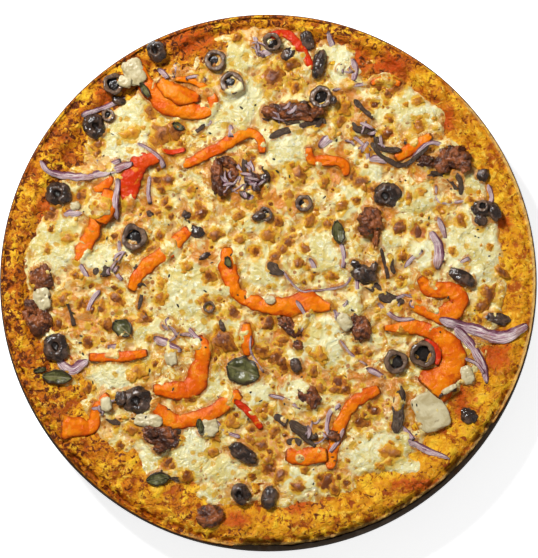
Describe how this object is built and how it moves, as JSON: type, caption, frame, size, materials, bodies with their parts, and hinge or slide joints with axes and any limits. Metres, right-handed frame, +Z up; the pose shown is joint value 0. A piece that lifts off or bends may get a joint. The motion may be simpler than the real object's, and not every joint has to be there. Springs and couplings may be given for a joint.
{
  "type": "deep dish pizza",
  "caption": "Uncut deep dish pizza in its round steel pan, with peppers, olives, onion, dried tomato and melted browned cheese.",
  "frame": {"origin": "centre of the pan's flat bottom, on the surface it stands on", "axes": "+Z up through the pizza; +Y towards the picture's top edge, +X towards its right edge"},
  "size_m": [0.307, 0.307, 0.0459],
  "materials": {
    "pan": "seasoned dark steel, satin, baked-on stains",
    "crust": "baked dough, golden with brown specks, dry and slightly rough",
    "sauce": "cooked tomato sauce, moist",
    "cheese": "melted cheese, oily sheen, browned blisters",
    "pepper": "roasted orange pepper skin, glossy",
    "onion": "softened red onion, satin",
    "olive": "dark olive skin, satin gloss",
    "tomato": "dried tomato, wrinkled and oily",
    "mushroom": "roasted mushroom and aubergine, soft matte",
    "garlic": "pale cooked vegetable, satin",
    "leaf": "wilted herb leaf, dull"
  },
  "bodies": {
    "root": {"cheese": "cheese", "crust": "crust", "garlic_chunk_lower_right": "garlic", "leaf_centre": "leaf", "leaf_left": "leaf", "mushroom_arc_upper": "mushroom", "mushroom_slice_lower_right": "mushroom", "mushroom_slice_middle": "mushroom", "olive_half_centre_right": "olive", "olive_half_east": "olive", "olive_half_foot_left": "olive", "olive_half_foot_right": "olive", "olive_half_left": "olive", "olive_half_left_top": "olive", "olive_half_low_middle": "olive", "olive_half_right_edge": "olive", "olive_half_south_west": "olive", "olive_half_top": "olive", "olive_half_upper_left": "olive", "olive_half_upper_right": "olive", "olive_half_west_low": "olive", "olive_ring_left": "olive", "olive_ring_middle": "olive", "olive_ring_right": "olive", "olive_ring_right_inner": "olive", "olive_ring_top": "olive", "olive_ring_upper": "olive", "olive_ring_upper_left": "olive", "onion_arc_left": "onion", "onion_arc_right": "onion", "onion_band_right": "onion", "onion_wide_right": "onion", "pan": "pan", "pepper_angle_top": "pepper", "pepper_arc_lower": "pepper", "pepper_arc_lower_left": "pepper", "pepper_arc_top": "pepper", "pepper_arch": "pepper", "pepper_band_left": "pepper", "pepper_bar_centre": "pepper", "pepper_bar_lower": "pepper", "pepper_crescent_lower_left": "pepper", "pepper_curl_left": "pepper", "pepper_diagonal_left": "pepper", "pepper_fold_upper_left": "pepper", "pepper_hook_centre": "pepper", "pepper_hook_lower_left": "pepper", "pepper_hook_right": "pepper", "pepper_loop_right": "pepper", "pepper_sliver_lower": "pepper", "pepper_tail_left": "pepper", "sauce": "sauce", "tomato_centre": "tomato", "tomato_centre_right": "tomato", "tomato_foot": "tomato", "tomato_lower_left": "tomato", "tomato_top_middle": "tomato", "tomato_upper": "tomato", "tomato_upper_right": "tomato", "tomato_west": "tomato"}
  },
  "joints": []
}
